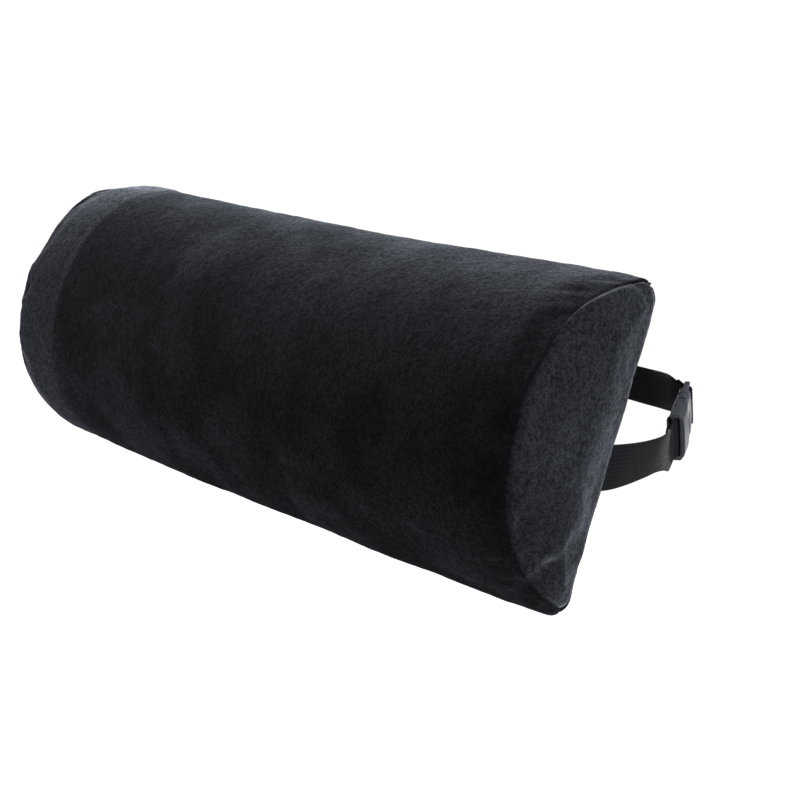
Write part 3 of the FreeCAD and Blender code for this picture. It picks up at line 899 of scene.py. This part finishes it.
def smooth_path(stations, step):
    """Evenly spaced points and cross directions on a smooth line through the stations."""
    both = np.array([[*point, *across] for point, across in stations])
    both[:, 3:] *= 10 * MM
    gaps = np.sqrt(np.linalg.norm(np.diff(both[:, :3], axis=0), axis=1))
    gaps = np.r_[gaps[0], gaps, gaps[-1]]
    both = np.vstack([2 * both[0] - both[1], both, 2 * both[-1] - both[-2]])
    t = np.linspace(0, 1, 25)[:-1, None]
    fine = []
    for i in range(len(stations) - 1):
        before, a, b, after = both[i:i + 4]
        left, gap, right = gaps[i:i + 3]
        leave = ((a - before) / left - (b - before) / (left + gap) + (b - a) / gap) * gap
        arrive = ((b - a) / gap - (after - a) / (gap + right) + (after - b) / right) * gap
        fine.append(
            (2 * t**3 - 3 * t**2 + 1) * a + (t**3 - 2 * t**2 + t) * leave
            + (3 * t**2 - 2 * t**3) * b + (t**3 - t**2) * arrive
        )
    fine = np.vstack([*fine, both[-2]])
    length = np.r_[0, np.cumsum(np.linalg.norm(np.diff(fine[:, :3], axis=0), axis=1))]
    at = np.linspace(0, length[-1], int(length[-1] / step) + 1)
    even = np.array([np.interp(at, length, fine[:, k]) for k in range(6)]).T
    return even[:, :3], even[:, 3:], at


def band_section():
    """Half outline of the webbing: offsets across it and its half thickness with ribs."""
    across = np.linspace(-0.5, 0.5, 12 * RIBS + 1) * BAND_WIDTH
    edge = np.sqrt(np.clip(1 - (np.abs(across) / (BAND_WIDTH / 2)) ** 14, 0.02, 1))
    ribs = RIB_HEIGHT * np.cos(2 * math.pi * across / RIB_PITCH)
    return across, (BAND_THICKNESS / 2 - RIB_HEIGHT) * edge + ribs * edge


def band(name, stations):
    """Ribbed elastic webbing along stations of (middle point, cross direction)."""
    points, cross, run = smooth_path(stations, 1.6 * MM)
    across, half = band_section()
    tangent = unit(np.gradient(points, axis=0))
    face = unit(np.cross(tangent, cross))
    cross = np.cross(face, tangent)
    offsets, lifts = np.r_[across, across[::-1]], np.r_[half, -half[::-1]]
    count = len(offsets)
    narrow = 1 - 0.16 * ramp(run[-1] - run, 4, 0)
    vertices = (
        points[:, None]
        + cross[:, None] * (narrow[:, None] * offsets)[..., None]
        + face[:, None] * lifts[:, None]
    ).reshape(-1, 3)
    faces = tube_faces(0, len(points), count, capped=False)
    last = (len(points) - 1) * count
    for j in range(count // 2 - 1):
        other = count - 1 - j
        faces.append((j, other, other - 1, j + 1))
        faces.append((last + j, last + j + 1, last + other - 1, last + other))
    piece = outwards(mesh_object(name, vertices, faces))
    add_layer(piece.data, "along", np.repeat(run, count))
    add_layer(piece.data, "across", np.tile(offsets, len(points)))
    print(f"{name}: {run[-1] / MM:.0f} mm of webbing")
    return piece


def cross_direction(lean, roll=0):
    """Across the band, for an upper edge that leans forward and rolls outwards."""
    lean, roll = math.radians(lean), math.radians(roll)
    return Vector((math.sin(roll), -math.sin(lean), math.cos(lean) * math.cos(roll)))


def fold(centre, outward, across):
    """The webbing round a bar: in along the outer leg, round it and back on itself."""
    side = across.cross(outward)
    profile = [(FOLD_LENGTH, STACKED), (9 * MM, 1.2 * STACKED), (4.2 * MM, 0.8 * FOLD_RING)]
    for step in range(7):
        angle = math.radians(90 + 30 * step)
        profile.append((FOLD_RING * math.cos(angle), FOLD_RING * math.sin(angle)))
    profile += [(4.2 * MM, -0.8 * FOLD_RING), (9 * MM, -1.2 * STACKED)]
    stations = [(centre + outward * a + side * b, across) for a, b in profile]
    tail = centre + outward * (FOLD_LENGTH - 1 * MM) - side * STACKED + across * TAIL_RISE
    return stations + [(tail, across)]


def stitching(name, centre, outward, across):
    """Two rows of short, plump threads that hold the doubled webbing together."""
    side = across.cross(outward)
    vertices, faces = [], []
    rings, sides = 9, 10
    for row in (11.5 * MM, 15.5 * MM):
        for step in range(-5, 6):
            middle = centre + outward * row + across * (2.1 * MM * step) + side * STITCH_LIFT
            faces += tube_faces(len(vertices), rings, sides)
            for i in range(rings):
                t = 2 * i / (rings - 1) - 1
                thick = 0.30 * MM * math.sqrt(max(1 - abs(t) ** 3, 0.03))
                sink = -0.18 * MM * t * t
                for j in range(sides):
                    angle = 2 * math.pi * j / sides
                    vertices.append(
                        middle + across * (0.78 * MM * t)
                        + outward * (thick * 1.1 * math.cos(angle))
                        + side * (thick * 0.7 * math.sin(angle) + sink)
                    )
    return outwards(mesh_object(name, vertices, faces))


def build_straps(webbing, thread):
    """The short strap to the socket and the long strap round to the plug."""
    turn = math.radians(FOLD_ANGLE)
    long_way = ALONG * math.cos(turn) - OUT * math.sin(turn)
    socket_bar, plug_bar = BUCKLE + ALONG * SOCKET_BAR, BUCKLE + ALONG * PLUG_BAR
    socket_bar -= OUT * BAR_SHIFT
    short, long = (
        [(Vector(p[:3]) * MM, cross_direction(*p[3:])) for p in route]
        for route in (SHORT_ROUTE, LONG_ROUTE)
    )
    piece = band("strap_short_band", short + fold(socket_bar, -ALONG, ACROSS))
    finish(piece, webbing, "elastic_webbing", "cushion", "strap_short")
    piece = band("strap_long_band", long + fold(plug_bar, long_way, ACROSS))
    finish(piece, webbing, "elastic_webbing", None, "strap_long")
    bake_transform(piece)
    piece = stitching("strap_short_threads", socket_bar, -ALONG, ACROSS)
    finish(piece, thread, "sewing_thread", "cushion", "strap_short_stitching")
    piece = stitching("strap_long_threads", plug_bar, long_way, ACROSS)
    finish(piece, thread, "sewing_thread", "buckle_plug", "strap_long_stitching")


# ---- Moulded and cast pieces, each in a frame of its own, in millimetres ----


def rounded_outline(width, height, radius, corner=6):
    """Anticlockwise outline of a rounded rectangle about the origin."""
    outline = []
    for quarter in range(4):
        centre = (
            (width / 2 - radius) * (1 if quarter in (0, 3) else -1),
            (height / 2 - radius) * (1 if quarter < 2 else -1),
        )
        for step in range(corner + 1):
            angle = math.pi / 2 * (quarter + step / corner)
            outline.append((
                centre[0] + radius * math.cos(angle), centre[1] + radius * math.sin(angle)
            ))
    return outline


def clipped(outline, axis, limit, sign):
    """The part of a convex outline where sign * coordinate is above sign * limit."""
    result = []
    for (p, q) in zip(outline, outline[1:] + outline[:1]):
        inside_p, inside_q = sign * (p[axis] - limit) >= 0, sign * (q[axis] - limit) >= 0
        if inside_p:
            result.append(p)
        if inside_p != inside_q:
            t = (limit - p[axis]) / (q[axis] - p[axis])
            result.append((p[0] + t * (q[0] - p[0]), p[1] + t * (q[1] - p[1])))
    return result


class Moulding:
    """Closed prisms, in millimetres, that are melted into one smooth piece."""

    def __init__(self):
        self.vertices = []
        self.faces = []

    def prism(self, outline, low, high, axis=0):
        """Extrudes an outline from low to high along an axis; its plane is the other two."""
        self.faces += tube_faces(len(self.vertices), 2, len(outline))
        for level in (low, high):
            self.vertices += [(*point[:axis], level, *point[axis:]) for point in outline]

    def block(self, x, y, z, radius=0.6):
        """A block with rounded long edges, from pairs of low and high values."""
        outline = rounded_outline(y[1] - y[0], z[1] - z[0], radius, 4)
        self.prism([(a + sum(y) / 2, b + sum(z) / 2) for a, b in outline], *x)

    def rod(self, x, z, radius, low, high):
        """A round bar along the piece's Y."""
        ring = [2 * math.pi * j / 20 for j in range(20)]
        outline = [(x + radius * math.cos(t), z + radius * math.sin(t)) for t in ring]
        self.prism(outline, low, high, axis=1)

    def melt(self, name, voxel, passes, placement, shape=None):
        """One closed surface round all the prisms, softened, shaped and put in place."""
        piece = outwards(mesh_object(name, self.vertices, self.faces))
        apply_modifier(piece, "REMESH", mode="VOXEL", voxel_size=voxel * 1)
        apply_modifier(piece, "SMOOTH", factor=0.5, iterations=passes)
        points = read_points(piece.data)
        if shape:
            points = shape(points)
        points = points * MM @ np.array(placement.to_3x3()).T + np.array(placement.translation)
        write_points(piece.data, points)
        piece.data.shade_smooth()
        return piece


def placed(origin, x_axis, y_axis, z_axis):
    """A frame from its origin and axes."""
    columns = Matrix((x_axis, y_axis, z_axis)).transposed()
    return Matrix.Translation(origin) @ columns.to_4x4()


def crowned(points):
    """Thins a buckle piece towards its two edges, so that its faces are crowned."""
    share = np.clip(np.abs(points[:, 1]) / 16, 0, 1)
    points[:, 2] *= 1 - 0.22 * share**3
    return points


def waisted(points):
    """The socket narrows behind its windows and swells round them."""
    swell = np.exp(-(((points[:, 0] - 6) / 11) ** 2))
    points[:, 1] *= 0.955 + 0.045 * swell
    outer = (points[:, 2] > 0) * (1 - smoothstep((points[:, 0] + 2) / 18))
    points[:, 2] *= 1 + 0.33 * outer
    return crowned(points)


def build_buckle(plastic):
    """Socket, plug and the plug's two spring arms."""
    place = placed(BUCKLE, ALONG, ACROSS, OUT)
    width, depth, mouth, back = 32, 9, 18, -6
    window = (1.5, 11)                 # the opening in each side that a spring arm shows in
    shell = rounded_outline(width, depth, 4.2, 10)
    skin, wall = 2.6, 13.4
    rails = (13.1, 16), (-16, -13.1)
    bar_radius, bar_half = 1.8, 14.5

    socket = Moulding()
    for sign, rail in zip((1, -1), rails):
        socket.prism(clipped(shell, 1, sign * skin, sign), back, mouth)
        side = clipped(shell, 0, sign * wall, sign)
        socket.prism(side, back, window[0])
        socket.prism(side, window[1], mouth)
        socket.block((-16.6, -5.5), rail, (-3.6, 3.4), 1.3)
    socket.prism(clipped(shell, 1, 2.2, 1), -16.4, -5.5)
    socket.block((back, -3), (-14, 14), (-3, 3), 0.4)
    socket.rod(SOCKET_BAR / MM, -BAR_SHIFT / MM, bar_radius, -bar_half, bar_half)
    for step in range(4):
        for rib in ((4.1, 4.85), (-4.85, -4.1)):
            socket.block((3.4 + 2.6 * step, 4.6 + 2.6 * step), (-6, 6), rib, 0.25)
    piece = socket.melt("buckle_socket_body", 0.24, 5, place, waisted)
    finish(piece, plastic, "buckle_plastic", "cushion", "buckle_socket")

    plug = Moulding()
    plug.prism(rounded_outline(width, 8, 3.0), 18.6, 24)
    plug.block((2, 19), (-4, 4), (-2.2, 2.2), 1.0)
    for edge in ((-4.6, -3.2), (3.2, 4.6)):
        plug.block((3, 18.8), edge, (-1.4, 1.4), 0.5)
    for rail in rails:
        plug.block((23.5, 35.8), rail, (-2.2, 2.2), 1.2)
    plug.rod(PLUG_BAR / MM, 0, bar_radius, -bar_half, bar_half)
    plug.block((24, 25.6), (-14, 14), (-1.6, 1.6), 0.8)
    piece = plug.melt("buckle_plug_body", 0.24, 5, place, crowned)
    finish(piece, plastic, "buckle_plastic", "buckle_plug", "buckle_plug")

    for name, sign in (("upper", 1), ("lower", -1)):
        arm = [
            (18.3, 10.3), (18.3, 12.5), (14.5, 12.7), (10.6, 12.9), (9.7, 14.2), (8.4, 15.2),
            (6.4, 15.6), (4.4, 15.2), (2.8, 13.8), (1.6, 11.8), (1.5, 10.6), (2.6, 10.2),
            (9.0, 10.4), (14.0, 10.4),
        ]
        prong = Moulding()
        prong.prism([(x, sign * y) for x, y in arm], -2.2, 2.2, axis=2)
        piece = prong.melt(f"buckle_prong_{name}_arm", 0.18, 4, place)
        finish(piece, plastic, "buckle_plastic", f"buckle_prong_{name}", f"buckle_prong_{name}")


# ---- Zipper ----


def coil(name, side):
    """One side of a nylon coil: a flattened spiral with its row of turns."""
    low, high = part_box(f"zipper_coil_{side}")
    sign = 1 if side == "upper" else -1
    wire, pitch = 0.36 * MM, 1.5 * MM
    height, width = (high.y - low.y) / 2 - wire, (high.z - low.z) / 2 - wire
    middle = (low + high) / 2
    per_turn, sides = 14, 6
    turns = int((high.x - low.x - 2 * wire) / pitch)
    t = np.arange(turns * per_turn + 1) / per_turn
    angle = 2 * math.pi * t
    start = low.x + wire + 0.45 * pitch * (sign < 0)       # so that the two sides interlock
    line = np.c_[
        start + t * pitch, middle.y + height * np.sin(angle), middle.z + sign * width * np.cos(angle)
    ]
    tangent = unit(np.gradient(line, axis=0))
    inward = np.c_[0 * t, -np.sin(angle), -sign * np.cos(angle)]
    inward = unit(inward - tangent * (inward * tangent).sum(1, keepdims=True))
    other = np.cross(tangent, inward)
    rim = 2 * math.pi * np.arange(sides)[:, None] / sides
    vertices = (
        line[:, None] + wire * np.cos(rim) * inward[:, None] + wire * np.sin(rim) * other[:, None]
    ).reshape(-1, 3)
    return outwards(mesh_object(name, vertices, tube_faces(0, len(t), sides)))


def tape(name, side):
    """A woven tape whose outer edge is slightly wavy."""
    low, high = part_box(f"zipper_tape_{side}")
    columns, rows = 376, 12
    share = np.tile(np.arange(rows + 1) / rows, columns + 1)
    x = np.repeat(low.x + (high.x - low.x) * np.arange(columns + 1) / columns, rows + 1)
    inner_z, outer_z = (low.z, high.z) if side == "upper" else (high.z, low.z)
    z = inner_z + (outer_z - inner_z) * 0.995 * share
    y = (low.y + high.y) / 2 + 0.06 * MM * np.sin(x * 260) * share
    half = 0.22 * MM
    corner = (np.arange(columns)[:, None] * (rows + 1) + np.arange(rows)).ravel()
    faces = np.c_[corner, corner + 1, corner + rows + 2, corner + rows + 1]
    return outwards(cloth_piece(name, np.c_[x, y + half, z], np.c_[x, y - half, z], faces))


def build_zipper(cloth, nylon, metal):
    """Tapes, coils, stops, the slider and its pull."""
    for side in ("upper", "lower"):
        piece = coil(f"zipper_coil_{side}_turns", side)
        finish(piece, nylon, "zipper_coil", "cushion", f"zipper_coil_{side}")
        piece = tape(f"zipper_tape_{side}_weave", side)
        finish(piece, cloth, "zipper_tape", "cushion", f"zipper_tape_{side}")
    axes = (Vector((1, 0, 0)), Vector((0, 0, -1)), Vector((0, 1, 0)))
    for end in ("closed", "open"):
        low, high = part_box(f"zipper_stop_{end}")
        size = (high - low) / MM
        clamp = Moulding()
        clamp.block((-size.x / 2, size.x / 2), (-size.z / 2, size.z / 2), (-0.4, 0.4), 0.3)
        for ridge in ((-0.9, -0.5), (0.5, 0.9)):
            clamp.block(ridge, (-size.z / 2 + 0.4, size.z / 2 - 0.4), (-0.4, 0.55), 0.15)
        piece = clamp.melt(f"zipper_stop_{end}_clamp", 0.1, 3, placed((low + high) / 2, *axes))
        finish(piece, metal, "zipper_metal", "cushion", f"zipper_stop_{end}")
    low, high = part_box("zipper_slider")
    x, z = (low.x + high.x) / 2, (low.z + high.z) / 2
    place = placed(Vector((x, 0, z)), *axes)
    outline = [
        (-5, -2.7), (-2, -3.4), (3, -4), (5, -3.6), (5, -1.0), (4.2, 0), (5, 1.0), (5, 3.6),
        (3, 4), (-2, 3.4), (-5, 2.7),
    ]
    slider = Moulding()
    for plate in ((-0.4, 0.6), (-4.4, -3.4)):
        slider.prism(outline, *plate, axis=2)
    slider.block((2.4, 5), (-0.25, 0.25), (-4.0, 0.2), 0.1)
    for post in ((-3, -1.6), (1.6, 3)):
        slider.block(post, (-1, 1), (0.4, 2.8), 0.3)
    slider.block((-3, 3), (-1, 1), (2.1, 2.8), 0.3)
    piece = slider.melt("zipper_slider_body", 0.12, 3, place)
    finish(piece, metal, "zipper_metal", "zipper_slider", "zipper_slider")
    pull = Moulding()
    pull.rod(0, 1.5, 0.55, -2.8, 2.8)
    for arm in ((1.5, 2.8), (-2.8, -1.5)):
        pull.block((-6, 0.2), arm, (0.95, 2.05), 0.4)
    pull.block((-22, -5.9), (-2.8, 2.8), (0.95, 2.05), 0.5)
    pull.block((-20.5, -20), (-2, 2), (0.8, 2.2), 0.2)
    for step in range(4):
        pull.block((-18.6 + 2.2 * step, -17.8 + 2.2 * step), (-1.8, 1.8), (0.75, 2.25), 0.3)
    piece = pull.melt("zipper_pull_tab", 0.12, 3, place)
    finish(piece, metal, "zipper_metal", "zipper_pull", "zipper_pull")


# ---- Camera, light and floor ----

LENS = 67.12                           # for a sensor 36 mm wide
CAMERA_PLACE = Vector((0.66901, -0.63181, -0.00388))
CAMERA_RIGHT = Vector((0.69379, 0.66255, 0.28227)).normalized()
CAMERA_AIM = Vector((-0.69012, 0.72369, -0.00242)).normalized()

# Area lights: place, what each points at, its size and its power in watts.
LIGHTS = {
    "overhead": ((0.1, 0.2, 1.4), (0, 0, 0), (1.8, 1.1), 3.4),
    "behind": ((0.0, 2.0, 0.25), (0.1, 0, 0), (2.6, 0.8), 5.5),
    "behind_left": ((-0.9, 1.5, 0.0), (-0.1, 0, 0), (1.2, 0.9), 45),
    "right": ((1.4, -0.22, 0.55), (0.2, 0, 0), (0.9, 0.9), 21),
    "left": ((-1.3, -0.9, 0.35), (-0.2, 0, 0), (0.8, 0.8), 7),
}


def build_lights():
    for name, (place, target, size, power) in LIGHTS.items():
        data = bpy.data.lights.new(name, "AREA")
        assign(data, shape="RECTANGLE", size=size[0], size_y=size[1], energy=power)
        light = new_object(name, data)
        light.location = place
        aim = Vector(target) - Vector(place)
        light.rotation_euler = aim.to_track_quat("-Z", "Y").to_euler()


def build_camera():
    data = bpy.data.cameras.new("camera")
    assign(data, lens=LENS, sensor_width=36, clip_start=0.01)
    camera = new_object("camera", data)
    up = CAMERA_RIGHT.cross(CAMERA_AIM).normalized()
    camera.matrix_world = placed(CAMERA_PLACE, CAMERA_RIGHT, up, -CAMERA_AIM)
    bpy.context.scene.camera = camera


def build_sky():
    """A white backdrop to the camera, and a dim light, stronger from above, to the object."""
    world = bpy.data.worlds.new("studio")
    bpy.context.scene.world = world
    world.use_nodes = True
    sky = Nodes(world.node_tree)
    direction = sky.node("TexCoord").outputs["Generated"]
    height = sky.node("SeparateXYZ", Vector=direction).outputs["Z"]
    rise = sky.node("MapRange", Value=height, From_Min=-1, To_Min=0.02, To_Max=0.06)
    pick = sky.node("Mix")
    for index, value in ((0, sky.on_camera_ray()), (2, rise.outputs["Result"]), (3, 1.05)):
        sky.feed(pick.inputs[index], value)
    sky.set(sky.tree.nodes["Background"], Color=(1, 1, 1, 1), Strength=pick.outputs[0])


def build_floor():
    """A pale floor that glows a little more where it is far off, so that it has no horizon."""
    corners = [(x, y, FLOOR_Z) for x, y in ((-9, -9), (9, -9), (9, 9), (-9, 9))]
    floor = mesh_object("floor", corners, [(0, 1, 2, 3)])
    look = Look("pale_floor", Roughness=0.9, Specular_IOR_Level=0.1, Emission_Color=(1, 1, 1, 1))
    reach = look.plus(look.math("ABSOLUTE", look.place("X")), look.math("ABSOLUTE", look.place("Y")))
    glow = look.spread(reach, 0.3, 1.6, 0.96, 1.05)
    look.shade(
        Base_Color=look.mix(look.noise(3), grey(0.3), grey(0.33)),
        Emission_Strength=look.times(glow, look.on_camera_ray()),
    )
    floor.data.materials.append(look.material)


bpy.context.scene.view_settings.view_transform = "Standard"
build_camera()
build_sky()
build_floor()
build_lights()
form_mesh = build_cushion(plush_look())
build_filling(form_mesh, foam_look(), liner_look())
build_straps(webbing_look(), thread_look())
build_buckle(plastic_look())
build_zipper(tape_look(), nylon_look(), metal_look())
